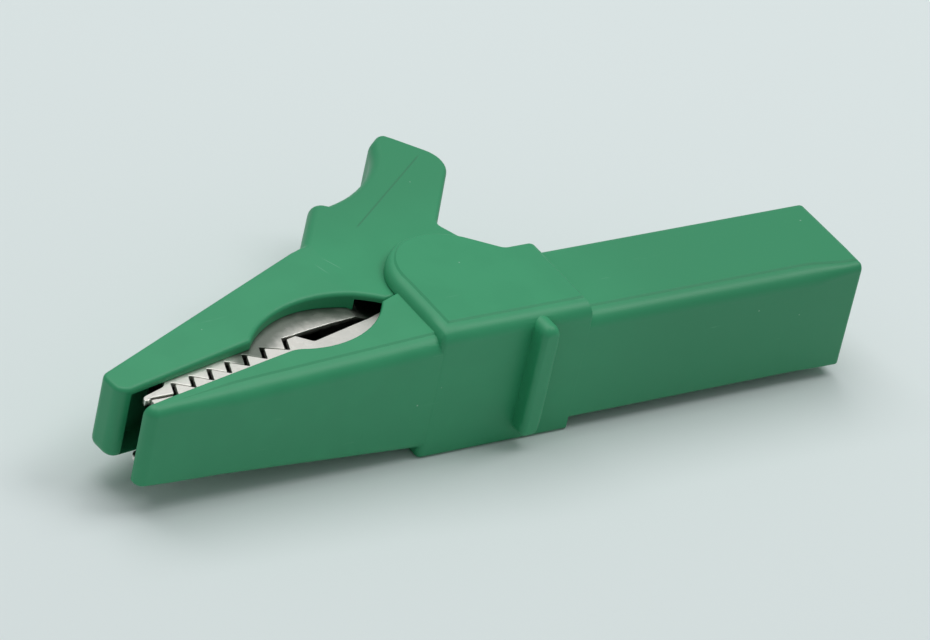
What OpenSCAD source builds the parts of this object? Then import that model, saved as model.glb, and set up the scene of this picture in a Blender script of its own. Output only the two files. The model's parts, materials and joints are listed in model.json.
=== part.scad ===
// Insulated crocodile clip with a socket for a 4 mm plug, lying on its side.
// Origin at the mouth of the socket, +X out of the tail, +Y to the lever's side, +Z along the hinge.

/* [Tail] */
// Length of the square tail behind the collar
tail_l = 31; // [30:0.5:38]
// Width of the tail and the collar, from the outer face to the lever's side
tail_w = 11.2; // [11:0.1:13]
// Thickness of the tail along the hinge
tail_t = 11.6; // [11:0.1:13]
// Radius of the tail's long edges
tail_edge_r = 0.7; // [0.3:0.1:1]
// Radius of the edges round the tail's end face
tail_end_r = 0.6; // [0.2:0.1:1]

/* [Collar and ears] */
// Length of the collar that carries the ears
collar_l = 16.4; // [15.6:0.1:20]
// Thickness over both ears
collar_t = 14; // [13.8:0.1:16]
// Radius of the round ears
ear_r = 6.4; // [6.2:0.1:7]
// Radius of the edges of the collar and the ears
ear_edge_r = 0.8; // [0.3:0.1:1]
// Distance of the hinge from the tail's axis
pivot_y = 3.4; // [3:0.1:4]
// Distance of the finger guard from the collar's rear end
guard_x = 5.4; // [3:0.1:8]
// Width of the finger guard
guard_w = 2.3; // [1.5:0.1:3]
// Height of the finger guard over the outer face
guard_h = 1.4; // [0.8:0.1:2.5]
// Length of the finger guard
guard_l = 12.2; // [9:0.1:12.4]

/* [Body jaw] */
// Length of the jaw in front of the collar
jaw_l = 30; // [29:0.2:34]
// Thickness of the jaw where it meets the collar
jaw_root_t = 12.1; // [11.8:0.1:12.6]
// Thickness of the jaw at its nose
jaw_nose_t = 8.4; // [8:0.1:9.2]
// Height of the jaw's nose
jaw_nose_h = 1.2; // [1:0.1:1.6]
// Set-back of the outer face at the nose
jaw_taper = 0.6; // [0.3:0.1:0.9]
// Plastic under the metal jaw's floor at the collar
floor_t = 1.4; // [1.3:0.1:1.8]
// Angle of the body's rim to the tail
rim_angle = 9; // [8.6:0.1:9.4]
// Radius of the dip behind the teeth in the body's rim
dip_r = 9.2; // [8.8:0.1:9.6]

/* [Lever] */
// Thickness of the lever between the ears
lever_t = 11.2; // [10.8:0.1:11.4]
// Thickness of the lever at its nose
lever_nose_t = 7.7; // [7.4:0.1:8.2]
// Overhang of the lever's nose past the body's nose
lever_over = 1; // [0.6:0.1:1.4]
// Height of the lever's nose
lever_nose_h = 3.2; // [3:0.1:3.8]
// Angle of the lever's outer face to the tail
lever_angle = 22; // [21.2:0.1:22.8]
// Angle of the lever's rim to the tail
lever_rim_angle = 10.7; // [10.2:0.1:11.2]
// Gap between the rims of the two jaws at the lever's nose
rim_gap = 2.8; // [2.6:0.1:3.2]
// Radius of the arch behind the teeth in the lever's rim
arch_r = 10.9; // [10.4:0.1:11.4]
// Wall of the lever's jaw
lever_wall = 1.3; // [1:0.1:1.6]
// Wall of the lever's nose
nose_wall = 1.6; // [1.2:0.1:1.8]
// Radius of the thumb scoop
scoop_r = 13.5; // [12:0.5:16]
// Radius of the lever's hub
hub_r = 4.8; // [4.4:0.1:5]

/* [Metal jaws] */
// Sheet thickness of both jaws
metal_t = 0.6; // [0.4:0.05:0.7]
// Outer width of the jaws at their noses
metal_nose_w = 6.5; // [6:0.1:6.7]
// Outer width of the jaws behind the teeth
metal_eye_w = 7.9; // [7.4:0.1:8]
// Outer width of the moving jaw at the hinge
metal_w = 6.6; // [6.2:0.1:6.8]
// Angle of the bite to the tail
bite_angle = 11.4; // [11:0.1:12]
// Distance of the bite from the hinge
bite_off = 1.7; // [1.5:0.05:1.9]
// Distance from the hinge to the first tooth, along the bite
tooth_start = 31.55; // [31:0.05:32]
// Number of teeth on each edge
teeth = 7; // [5:1:7]
// Pitch of the teeth
tooth_pitch = 2.12; // [1.8:0.02:2.16]
// Depth of the teeth
tooth_d = 1.4; // [1:0.05:1.5]
// Gap between the closed jaws
bite_gap = 0.36; // [0.34:0.01:0.45]

/* [Hinge and spring] */
// Diameter of the hinge rivet
rivet_d = 2.5; // [2:0.1:2.8]
// Diameter of the rivet's heads
rivet_head_d = 4.6; // [4:0.1:5.4]
// Height of the rivet's heads
rivet_head_t = 0.5; // [0.3:0.05:0.6]
// Wire of the spring
wire_d = 0.9; // [0.6:0.05:1]
// Mean radius of the spring's coil
coil_r = 2.3; // [2.2:0.05:2.6]
// Whole turns of the spring's coil
coil_turns = 4; // [2:1:4]

/* [Socket] */
// Bore of the socket for a 4 mm plug
socket_bore_d = 4.05; // [3.95:0.01:4.2]
// Depth of the socket's bore
socket_depth = 18.5; // [16:0.5:19]
// Outer diameter of the socket
socket_d = 6; // [5.4:0.1:6.2]
// Set-back of the socket's mouth from the tail's end face
socket_recess = 2; // [1:0.1:4]
// Bore round the socket for a plug's insulating sleeve
shroud_d = 8.9; // [8.4:0.1:9.2]
// Diameter of the rivet that joins the tang to the socket
tang_rivet_d = 2.2; // [1.6:0.1:2.4]

/* [Fits] */
// Clearance round seated pieces
seat = 0.05; // [0.02:0.01:0.1]
// Clearance of pins in their holes
pin_gap = 0.04; // [0.02:0.01:0.08]
// Side clearance between plates that turn past each other
side_gap = 0.12; // [0.08:0.01:0.2]
// Clearance round the lever's hub
hub_gap = 0.35; // [0.3:0.05:0.5]

/* [Hidden] */
$fn = 64;
plastic = [0.22, 0.55, 0.39];
nickel = [0.78, 0.77, 0.74];
steel = [0.62, 0.63, 0.65];
brass = [0.80, 0.72, 0.50];
hull_fn = 32;
arc_steps = 6;
far = 60;
overlap = 1;
sliver = 0.1;

// Stations along the tail
tail_end_x = socket_recess;
collar_rear_x = tail_end_x - tail_l;
collar_front_x = collar_rear_x - collar_l;
tip_x = collar_front_x - jaw_l;
lever_tip_x = tip_x - lever_over;
pivot = [collar_front_x + ear_r, pivot_y];

// Faces of the body
outer_y = -tail_w / 2;
nose_y = outer_y + jaw_taper;
floor_y = outer_y + floor_t;

// Plates across the hinge, as half widths
moving_half = metal_w / 2;
fixed_half = moving_half + side_gap + metal_t;
head_half = fixed_half + side_gap / 2 + rivet_head_t;
head_gap = 0.37;
lever_in_half = head_half + head_gap;
ear_in_half = lever_t / 2 + side_gap;

// Points on the bite, measured from the hinge: along it towards the tail, and across it towards the lever
function bite(along, across) = pivot + [along * cos(bite_angle) - across * sin(bite_angle),
                                        along * sin(bite_angle) + across * cos(bite_angle)];
function bite_y(x) = pivot_y + bite_off / cos(bite_angle) + tan(bite_angle) * (x - pivot[0]);
function body_rim_y(x) = nose_y + jaw_nose_h + tan(rim_angle) * (x - tip_x);
function lever_rim_y(x) = body_rim_y(lever_tip_x) + rim_gap + tan(lever_rim_angle) * (x - lever_tip_x);
function lever_top_y(x, depth = 0) = lever_rim_y(lever_tip_x) + lever_nose_h
    + tan(lever_angle) * (x - lever_tip_x) - depth / cos(lever_angle);

// Outline helpers
function unit(v) = v / norm(v);
function turn(a) = a > 180 ? a - 360 : a < -180 ? a + 360 : a;
function arc(c, r, a0, sweep) =
    [for (i = [0:arc_steps]) let (a = a0 + sweep * i / arc_steps) c + r * [cos(a), sin(a)]];
function rounded_corner(a, b, c, r) =
    let (u = unit(a - b), v = unit(c - b), half = acos(u * v) / 2)
    let (mid = b + unit(u + v) * r / sin(half))
    let (p = b + u * r / tan(half) - mid, q = b + v * r / tan(half) - mid, a0 = atan2(p[1], p[0]))
    arc(mid, r, a0, turn(atan2(q[1], q[0]) - a0));
// Outline through corners [x, y, radius]
function soft(p, r = 0) = [p[0], p[1], r];
function rounded(corners) = let (n = len(corners))
    [for (i = [0:n - 1]) let (b = corners[i], a = corners[(i + n - 1) % n], c = corners[(i + 1) % n])
        each b[2] > 0 ? rounded_corner([a[0], a[1]], [b[0], b[1]], [c[0], c[1]], b[2]) : [[b[0], b[1]]]];

// Rectangle from a low to a high corner with rounded corners
module rounded_square(low, high, r) {
    polygon(rounded([[low[0], low[1], r], [high[0], low[1], r], [high[0], high[1], r], [low[0], high[1], r]]));
}

// Outline drawn in X and Z, made into a bar along Y
module along_y(y0, y1) {
    translate([0, y1, 0]) rotate([90, 0, 0]) linear_extrude(y1 - y0) children();
}

// Outline drawn in Y and Z, made into a bar along X
module along_x(x0, x1) {
    translate([x0, 0, 0]) rotate([90, 0, 90]) linear_extrude(x1 - x0) children();
}

// Outline drawn in X and Y, made into a plate about the middle plane
module plate(t) {
    linear_extrude(t, center = true) children();
}

module at_hinge() {
    translate([pivot[0], pivot[1], 0]) children();
}

// Plan of each metal jaw: its half width at the hinge, where it starts, and between which reaches from the
// hinge it changes from the width behind the teeth; grown by a clearance
eye_reach = 16.5;
eye_x = pivot[0] - eye_reach;
fixed_step = [15.5, 11];
moving_step = [10.2, 8.6];
module jaw_plan(half, start_x, step, grow) {
    front = metal_nose_w / 2 + grow;
    eye = metal_eye_w / 2 + grow;
    wide = half + grow;
    hold_x = pivot[0] - step[0];
    turn_x = pivot[0] - step[1];
    polygon([[start_x, -front], [eye_x, -eye], [hold_x, -eye], [turn_x, -wide], [far, -wide],
             [far, wide], [turn_x, wide], [hold_x, eye], [eye_x, eye], [start_x, front]]);
}

// Hollows of the body
pocket_wall = 1.9;
pocket_rear_x = collar_rear_x - pocket_wall;
heel_drop = 3;
guard_z = 0.4;
shroud_lap = 0.5;
lead = 0.3;
shroud_x = shroud_lap - socket_depth;
web_t = 4;
socket_back_x = shroud_x - web_t - sliver;
cheek_drop = 0.4;
cheek_y = pivot_y - cheek_drop;
dip_x = 15.8;
dip_h = 3.6;
dip = pivot + [-dip_x, dip_h];
dip_reach = 19.2;
dip_start_x = pivot[0] - dip_reach;

// Stations of the metal pieces
nose_setback = 1.8;
fixed_nose_x = tip_x + nose_setback;
fixed_nose_drop = 0.25;
// Curled prongs of the moving jaw's nose: reach along the bite, and heights across it
lip_setback = 0.8;
lip_drop = 0.15;
lip_rise = 0.6;
lip_h = 0.45;
lip_r = 0.6;
lip_reach = ear_r + jaw_l - lip_setback;
lip_low = bite_off - lip_drop;
lip_top = bite_off + lip_rise;
moving_nose_x = bite(-lip_reach, lip_top)[0];
beak_lead = 1;
beak_rise = 0.95;
beak_r = 1;
beak_reach = tooth_start + beak_lead;
beak_h = bite_off + beak_rise;
beak_x = bite(-beak_reach, beak_h)[0] + beak_lead;
hollow_start_x = lever_tip_x + nose_wall;
flange_reach = 5.2;
flange_h = 1.6;
flange_rear_x = pivot[0] + flange_reach;
tang_w = 5;
tang_flat = 0.6;
tang_rise = 3.4;
tang_gap = 0.5;
tang_bend_x = flange_rear_x + tang_flat;
palm_front_x = tang_bend_x + tang_rise;
tang_end_x = socket_back_x - tang_gap;
tang_rivet_x = (palm_front_x + tang_end_x) / 2;
palm_flat = 0.8;
palm_low = socket_d / 2 - palm_flat;
tang_head = 0.7;
fixed_ear_r = 4.2;
moving_ear_r = 3.6;
tooth_lean = 0.8;
last_step = 0.6;
bite_shift = 0.2;
pitch_step = 0.015;
// Eye behind the teeth: reach along the bite and rise across it
fixed_eye_reach = [17.2, 16.2, 9, 6.4];
fixed_eye_rise = [(tooth_d - bite_gap) / 2, -0.98, -0.65, -0.2];
moving_eye_reach = [17.3, 15.2, 12.7, 9.2];
moving_eye_rise = [0.71, 0.61, 0.46, 0.06];

// Places on the lever, measured from the hinge: along the tail and up from it
function corner(place, r) = [pivot[0] + place[0], pivot_y + place[1], r];
nose_slant = 0.3;
nose_r = 1;
nose_rim_r = 1.2;
arch_reach = 22.6;
arch_stop_reach = 7.2;
arch_stop_drop = 0.25;
heel_reach = 5.7;
heel_h = 5.2;
heel_bend_reach = 4;
heel_bend_h = 9.1;
heel_corner_r = 1;
thumb_end_reach = 11.15;
thumb_end_h = 18.5;
thumb_end_r = 3.2;
thumb_tip_reach = 6.7;
thumb_tip_h = 24.2;
thumb_tip_r = 0.8;
ridge_reach = 5.75;
ridge_h = 15.95;
ridge_r = 1.3;
ridge_foot_reach = 10.7;
ridge_foot_r = 1.5;
arch_x = 14.2;
arch_drop = 8.9;
scoop_low_reach = 0.85;
scoop_low_h = 17.6;
arm_bend_reach = 7.6;
arm_end_reach = 4.5;
arm_end_h = 18.1;
arm_neck_reach = 2.2;
arm_neck_h = 9.5;
rim_x = lever_tip_x + nose_slant;
arch_start_x = pivot[0] - arch_reach;
ridge_foot_x = pivot[0] - ridge_foot_reach;
nose_top = [lever_tip_x, lever_top_y(lever_tip_x), nose_r];
nose_rim = [rim_x, lever_rim_y(rim_x), nose_rim_r];
arch_start = [arch_start_x, lever_rim_y(arch_start_x), 0];
arch_stop = corner([-arch_stop_reach, -arch_stop_drop], 0);
hub_rear = corner([hub_r, 0], 0);
heel = corner([heel_reach, heel_h], heel_corner_r);
heel_bend = corner([heel_bend_reach, heel_bend_h], heel_corner_r);
thumb_end = corner([thumb_end_reach, thumb_end_h], thumb_end_r);
thumb_tip = corner([thumb_tip_reach, thumb_tip_h], thumb_tip_r);
ridge = corner([-ridge_reach, ridge_h], ridge_r);
ridge_foot = [ridge_foot_x, lever_top_y(ridge_foot_x), ridge_foot_r];
arch = pivot - [arch_x, arch_drop];
scoop_low = pivot + [scoop_low_reach, scoop_low_h];
scoop_angle = 38.3;
scoop = scoop_low + scoop_r * [-sin(scoop_angle), cos(scoop_angle)];
// The scoop runs from the ridge to the thumb's tip, as angles about its middle
scoop_span = [-77, -5];
function on_scoop(a, r) = scoop + r * [cos(a), sin(a)];
scoop_start = [each on_scoop(scoop_span[0], scoop_r), 0];
notch_r = 9.9;

// Base of the moving jaw inside the lever: along the jaw, a bend, then along the thumb arm
base_depth = lever_wall + seat;
arm_bend_x = pivot[0] - arm_bend_reach;
arm_bend = [arm_bend_x, lever_top_y(arm_bend_x, base_depth)];
arm_end = pivot + [arm_end_reach, arm_end_h];
arm_neck = pivot + [arm_neck_reach, arm_neck_h];
arm_dir = unit(arm_end - arm_bend);
arm_in = [arm_dir[1], -arm_dir[0]];
arm_flange = 3.2;
function base_point(x, depth) = [x, lever_top_y(x, base_depth + depth)];
function bend_point(depth) =
    let (a = arm_bend + arm_in * depth, k = tan(lever_angle), b = base_point(arm_bend[0], depth))
    let (s = (b[1] - a[1] + k * (a[0] - b[0])) / (arm_dir[1] - k * arm_dir[0]))
    a + arm_dir * s;

module body_shell() {
    color(plastic) difference() {
        union() {
            tail();
            collar();
            body_jaw();
            finger_guard();
        }
        metal_trough();
        hub_pocket();
        tail_hollow();
    }
}

module tail() {
    intersection() {
        along_x(collar_rear_x - overlap, tail_end_x)
            rounded_square([outer_y, -tail_t / 2], [-outer_y, tail_t / 2], tail_edge_r);
        along_y(outer_y, -outer_y)
            rounded_square([collar_front_x, -tail_t / 2], [tail_end_x, tail_t / 2], tail_end_r);
        plate(tail_t) rounded_square([collar_front_x, outer_y], [tail_end_x, -outer_y], tail_end_r);
    }
}

// Block under the ears, squared off in front at the hinge's height, and the two round ears
module collar() {
    half = collar_t / 2;
    intersection() {
        union() {
            along_x(collar_front_x, pivot[0])
                polygon(rounded([[outer_y, -half, ear_edge_r], [pivot_y, -half, 0],
                                 [pivot_y, half, 0], [outer_y, half, ear_edge_r]]));
            along_x(pivot[0], collar_rear_x) rounded_square([outer_y, -half], [-outer_y, half], ear_edge_r);
        }
        along_y(outer_y, -outer_y) rounded_square([collar_front_x, -half], [collar_rear_x, half], ear_edge_r);
    }
    at_hinge() rotate_extrude()
        polygon(rounded([[0, -half, 0], [ear_r, -half, ear_edge_r], [ear_r, half, ear_edge_r], [0, half, 0]]));
}

module body_jaw() {
    top_y = pivot_y + overlap;
    root_x = collar_front_x + overlap;
    r = tail_edge_r;
    intersection() {
        hull() {
            along_x(root_x, root_x + sliver)
                rounded_square([outer_y, -jaw_root_t / 2], [top_y, jaw_root_t / 2], r);
            for (s = [-1, 1]) translate([tip_x + r, nose_y + r, s * (jaw_nose_t / 2 - r)]) {
                rotate([90, 0, 0]) sphere(r, $fn = hull_fn);
                rotate([-90, 0, 0]) cylinder(r = r, h = top_y - nose_y - r, $fn = hull_fn);
            }
        }
        plate(far) body_jaw_outline();
    }
}

module body_jaw_outline() {
    difference() {
        polygon([[tip_x - overlap, -far], [collar_front_x + 2 * overlap, -far],
                 [collar_front_x + 2 * overlap, cheek_y], [collar_front_x, cheek_y],
                 [dip_start_x, body_rim_y(dip_start_x)], [tip_x - overlap, body_rim_y(tip_x - overlap)]]);
        translate(dip) circle(dip_r);
    }
}

module finger_guard() {
    x = collar_rear_x - guard_x;
    along_y(outer_y - guard_h, outer_y + overlap)
        rounded_square([x - guard_w / 2, guard_z - guard_l / 2], [x + guard_w / 2, guard_z + guard_l / 2],
                       (guard_w - sliver) / 2);
}

// Slot for the fixed jaw, open towards the lever
module metal_trough() {
    along_y(floor_y, far) intersection() {
        jaw_plan(fixed_half, fixed_nose_x - seat, fixed_step, seat);
        translate([fixed_nose_x - seat, -far / 2]) square([pocket_rear_x - fixed_nose_x + seat, far]);
    }
}

// Space between the ears for the lever's hub and heel
module hub_pocket() {
    r = hub_r + hub_gap;
    at_hinge() cylinder(r = r, h = 2 * ear_in_half, center = true);
    translate([collar_front_x - overlap, cheek_y, -ear_in_half])
        cube([pivot[0] - collar_front_x + overlap, far, 2 * ear_in_half]);
    translate([pivot[0], pivot_y - heel_drop, -ear_in_half])
        cube([pocket_rear_x - pivot[0], far, 2 * ear_in_half]);
}

// Channel for the tang, bored web that carries the socket, and the bore for a plug's sleeve
module tail_hollow() {
    half = socket_d / 2 + seat;
    along_x(pocket_rear_x - overlap, shroud_x - web_t) square(2 * half, center = true);
    translate([shroud_x - web_t - overlap, 0, 0]) rotate([0, 90, 0])
        cylinder(r = half, h = web_t + 2 * overlap);
    translate([shroud_x, 0, 0]) rotate([0, 90, 0]) cylinder(d = shroud_d, h = far);
}

module lever_shell() {
    color(plastic) difference() {
        intersection() {
            plate(lever_t) lever_outline();
            along_y(-far, far) lever_plan();
        }
        intersection() {
            plate(far) lever_hollow_outline();
            along_y(-far, far) jaw_plan(moving_half, hollow_start_x, moving_step, seat);
        }
        plate(2 * lever_in_half) intersection() {
            lever_hollow_outline();
            translate(pivot) circle(notch_r);
        }
    }
}

module lever_plan() {
    root_x = pivot[0] - notch_r;
    polygon([[lever_tip_x, -lever_nose_t / 2], [root_x, -lever_t / 2], [far, -lever_t / 2],
             [far, lever_t / 2], [root_x, lever_t / 2], [lever_tip_x, lever_nose_t / 2]]);
}

module lever_outline() {
    difference() {
        polygon(rounded([nose_top, nose_rim, arch_start, arch_stop, corner([0, 0], 0), hub_rear, heel,
                         heel_bend, thumb_end, thumb_tip, scoop_start, ridge, ridge_foot]));
        translate(arch) circle(arch_r);
        intersection() {
            translate(scoop) circle(scoop_r);
            polygon([scoop, on_scoop(scoop_span[0], 2 * scoop_r), on_scoop(scoop_span[1], 2 * scoop_r)]);
        }
    }
    translate(pivot) circle(hub_r);
}

// Everything under the moving jaw's base, as far as the end of its thumb arm
module lever_hollow_outline() {
    end = arm_end + arm_dir * seat;
    polygon([[hollow_start_x, -far], base_point(hollow_start_x, -seat), bend_point(-seat), end - arm_in * seat,
             end + arm_in * far, [far, -far]]);
}

module moving_jaw() {
    color(nickel) difference() {
        intersection() {
            plate(far) moving_jaw_outline();
            along_y(-far, far) jaw_plan(moving_half, moving_nose_x, moving_step, 0);
        }
        intersection() {
            plate(far) polygon([[lever_tip_x, -far], base_point(lever_tip_x, metal_t), bend_point(metal_t),
                                arm_end + arm_in * metal_t + arm_dir, arm_end + arm_in * far + arm_dir,
                                [far, -far]]);
            along_y(-far, far) jaw_plan(moving_half, lever_tip_x, moving_step, -metal_t);
        }
        at_hinge() cylinder(d = rivet_d + 2 * pin_gap, h = far, center = true);
    }
}

// Flange of the moving jaw: curled nose, teeth, eye, hinge ear and thumb arm
module moving_jaw_outline() {
    back = metal_t - lip_reach;
    polygon(rounded(concat(
        [soft(base_point(beak_x, 0)), soft(bite(-beak_reach, beak_h), beak_r),
         soft(bite(-lip_reach, lip_top), lip_r), soft(bite(-lip_reach, lip_low)), soft(bite(back, lip_low)),
         soft(bite(back, lip_top - lip_h))],
        [for (p = tooth_edge(tooth_pitch - pitch_step, bite_gap / 2, -bite_shift)) soft(p)],
        [for (i = [0:3]) soft(bite(-moving_eye_reach[i], bite_off + moving_eye_rise[i]))],
        [soft(pivot), soft(pivot + [moving_ear_r, 0]), soft(arm_neck), soft(arm_end + arm_in * arm_flange),
         soft(arm_end), soft(bend_point(0))])));
    translate(pivot) circle(moving_ear_r);
}

// Edge of the teeth from the nose to the last one, which stands a little apart
function tooth_edge(pitch, across, along) = [for (i = [0:teeth - 1])
    let (x = i * pitch - tooth_start + along + (i == teeth - 1 ? last_step : 0))
    each [bite(x - tooth_lean, bite_off - tooth_d / 2 + across), bite(x, bite_off + tooth_d / 2 + across)]];

module fixed_jaw() {
    color(nickel) difference() {
        union() {
            difference() {
                intersection() {
                    plate(far) fixed_jaw_outline();
                    along_y(-far, far) jaw_plan(fixed_half, fixed_nose_x, fixed_step, 0);
                }
                intersection() {
                    translate([fixed_nose_x + metal_t, floor_y + metal_t, -far / 2]) cube(far);
                    along_y(-far, far) jaw_plan(fixed_half, fixed_nose_x, fixed_step, -metal_t);
                }
            }
            tang();
        }
        at_hinge() cylinder(d = rivet_d + 2 * pin_gap, h = far, center = true);
        tang_rivet_hole();
    }
}

module fixed_jaw_outline() {
    polygon(concat(
        [[fixed_nose_x, floor_y], [fixed_nose_x, bite_y(fixed_nose_x) - fixed_nose_drop]],
        tooth_edge(tooth_pitch, -bite_gap / 2, 0),
        [for (i = [0:3]) bite(-fixed_eye_reach[i], bite_off + fixed_eye_rise[i])],
        [pivot, pivot + [fixed_ear_r, 0], [flange_rear_x, floor_y + flange_h], [flange_rear_x, floor_y]]));
    translate(pivot) circle(fixed_ear_r);
}

// Strip that steps up from the jaw's floor to the socket's palm
module tang() {
    half = metal_t / 2;
    start_x = flange_rear_x - overlap;
    plate(tang_w) polygon([[start_x, floor_y], [tang_bend_x, floor_y], [palm_front_x, -half],
                           [tang_end_x, -half], [tang_end_x, half], [palm_front_x, half],
                           [tang_bend_x, floor_y + metal_t], [start_x, floor_y + metal_t]]);
}

module tang_rivet_hole() {
    translate([tang_rivet_x, 0, 0]) rotate([90, 0, 0])
        cylinder(d = tang_rivet_d + 2 * pin_gap, h = far, center = true);
}

module hinge_rivet() {
    base = fixed_half + side_gap / 2;
    r = rivet_head_d / 2;
    dome = rivet_head_t - sliver;
    color(steel) at_hinge() {
        cylinder(d = rivet_d, h = 2 * base + sliver, center = true);
        for (s = [0, 1]) mirror([0, 0, s]) translate([0, 0, base]) rotate_extrude()
            polygon(rounded([[0, 0, 0], [r, 0, 0], [r, rivet_head_t, dome], [0, rivet_head_t, 0]]));
    }
}

module tang_rivet() {
    top = -metal_t / 2;
    head_d = tang_rivet_d + 2 * tang_head;
    color(steel) translate([tang_rivet_x, 0, 0]) rotate([90, 0, 0]) {
        translate([0, 0, top - tang_head]) cylinder(d = head_d, h = tang_head);
        translate([0, 0, top]) cylinder(d = tang_rivet_d, h = palm_low - top);
        translate([0, 0, palm_low]) cylinder(d = head_d, h = tang_head);
    }
}

module socket_tube() {
    color(brass) difference() {
        union() {
            translate([socket_back_x, 0, 0]) rotate([0, 90, 0])
                cylinder(d = socket_d, h = lead - socket_back_x);
            intersection() {
                translate([palm_front_x, 0, 0]) rotate([0, 90, 0])
                    cylinder(d = socket_d, h = socket_back_x - palm_front_x + overlap);
                translate([palm_front_x, -palm_low, -far / 2]) cube([far, palm_low - metal_t / 2, far]);
            }
        }
        translate([-socket_depth, 0, 0]) rotate([0, 90, 0]) cylinder(d = socket_bore_d, h = far);
        rotate([0, 90, 0]) cylinder(d1 = socket_bore_d, d2 = socket_bore_d + 2 * lead, h = lead);
        tang_rivet_hole();
    }
}

// Spring path: free end on the fixed jaw's floor, coil, free end on the thumb arm
base_leg_a = -51;
arm_leg_a = 75;
coil_steps = 20;
wire_sides = 8;
coil_gap = 0.05;
coil_pitch = wire_d + coil_gap;
coil_a0 = base_leg_a + 270;
coil_sweep = 360 * coil_turns + coil_a0 - arm_leg_a - 90;
coil_l = coil_pitch * coil_sweep / 360;
coil_start = pivot + coil_r * [cos(coil_a0), sin(coil_a0)];
coil_end = pivot + coil_r * [cos(coil_a0 - coil_sweep), sin(coil_a0 - coil_sweep)];
base_leg_l = (coil_start[1] - floor_y - metal_t - wire_d / 2 - seat) / -sin(base_leg_a);
arm_leg_dir = [cos(arm_leg_a), sin(arm_leg_a)];
arm_leg_l = ((coil_end - arm_bend) * arm_in - metal_t - wire_d / 2 - seat) / -(arm_leg_dir * arm_in);
coil_n = ceil(coil_steps * coil_sweep / 360);
spring_path = concat(
    [[each coil_start + base_leg_l * [cos(base_leg_a), sin(base_leg_a)], -coil_l / 2]],
    [for (i = [0:coil_n]) let (k = i / coil_n, a = coil_a0 - coil_sweep * k)
        [each pivot + coil_r * [cos(a), sin(a)], coil_l * (k - 0.5)]],
    [[each coil_end + arm_leg_l * arm_leg_dir, coil_l / 2]]);

// Tube of round wire along a path whose turns lie about the Z axis
module wire(path, d) {
    n = len(path);
    function heading(i) = unit(path[min(i + 1, n - 1)] - path[max(i - 1, 0)]);
    rings = [for (i = [0:n - 1]) let (t = heading(i), u = unit(cross([0, 0, 1], t)), v = cross(t, u))
        for (k = [0:wire_sides - 1]) let (a = 360 * k / wire_sides)
            path[i] + d / 2 * (u * cos(a) + v * sin(a))];
    sides = [for (i = [0:n - 2], k = [0:wire_sides - 1]) let (a = i * wire_sides, m = (k + 1) % wire_sides)
        [a + k, a + wire_sides + k, a + wire_sides + m, a + m]];
    polyhedron(rings, concat(sides, [[for (k = [0:wire_sides - 1]) k]],
                             [[for (k = [wire_sides - 1:-1:0]) (n - 1) * wire_sides + k]]));
}

module torsion_spring() {
    color(steel) wire(spring_path, wire_d);
}

body_shell();
lever_shell();
fixed_jaw();
moving_jaw();
hinge_rivet();
torsion_spring();
socket_tube();
tang_rivet();
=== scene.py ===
"""Insulated crocodile clip: two green mouldings over toothed, plated jaws, lying on its side."""

import json
import math

import bmesh
import bpy
import numpy as np
from mathutils import Matrix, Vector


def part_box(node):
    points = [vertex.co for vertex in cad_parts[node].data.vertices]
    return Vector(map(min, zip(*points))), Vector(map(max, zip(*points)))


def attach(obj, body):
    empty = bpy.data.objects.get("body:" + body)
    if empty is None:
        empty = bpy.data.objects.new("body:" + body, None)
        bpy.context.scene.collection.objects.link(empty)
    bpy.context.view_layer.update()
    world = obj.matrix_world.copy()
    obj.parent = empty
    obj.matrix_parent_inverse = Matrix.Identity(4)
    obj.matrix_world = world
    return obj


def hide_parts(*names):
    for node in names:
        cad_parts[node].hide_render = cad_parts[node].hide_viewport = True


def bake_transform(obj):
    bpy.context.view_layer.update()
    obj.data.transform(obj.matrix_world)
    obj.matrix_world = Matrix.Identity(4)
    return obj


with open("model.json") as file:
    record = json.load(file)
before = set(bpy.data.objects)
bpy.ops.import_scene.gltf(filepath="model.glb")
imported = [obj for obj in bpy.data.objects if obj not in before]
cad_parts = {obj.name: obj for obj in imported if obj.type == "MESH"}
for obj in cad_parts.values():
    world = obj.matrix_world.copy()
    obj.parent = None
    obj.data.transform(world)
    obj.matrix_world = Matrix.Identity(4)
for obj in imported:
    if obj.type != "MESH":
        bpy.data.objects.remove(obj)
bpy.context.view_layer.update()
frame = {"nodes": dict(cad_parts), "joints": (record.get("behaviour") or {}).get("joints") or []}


# Moulded body
# One injection moulding in satin green polyamide: a square tail, a collar with two round ears for the hinge,
# and the lower jaw. Its upper faces stand a hair proud of the rounded edges, where the mould's halves met.
MM = 0.001
hair = 0.01
pivot = np.array(frame["joints"][0]["pos_m"][:2]) / MM
body_low, body_high = (np.array(corner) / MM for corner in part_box("body_shell"))
guard_y = body_low[1]
guard_h = 1.8
outer_y = guard_y + guard_h
arc_step_deg = 5
corner_step_deg = 9
sharp_turn = 0.35
under_most = 1
panel_d = 0.15
panel_soft = 0.2
plain_soft = 0.25


def bearing(centre, point):
    """Angle of a point about a centre, in degrees."""
    return math.degrees(math.atan2(point[1] - centre[1], point[0] - centre[0]))


def arc(centre, r, start, stop, soft):
    """Corners along an arc from one angle to another, in degrees."""
    parts = max(2, math.ceil(abs(stop - start) / arc_step_deg))
    angles = np.radians(np.linspace(start, stop, parts + 1))
    return [(centre[0] + r * math.cos(a), centre[1] + r * math.sin(a), 0, soft) for a in angles]


def sharp(points):
    """Corners without any radius."""
    return [(*point, 0, 0) for point in points]


def grown(xs, ys, softs, count):
    """Corners along a straight side whose edge radius changes from one end to the other."""
    columns = [np.linspace(*ends, count) for ends in (xs, ys, softs)]
    return [(x, y, 0, soft) for x, y, soft in zip(*columns)]


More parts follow.
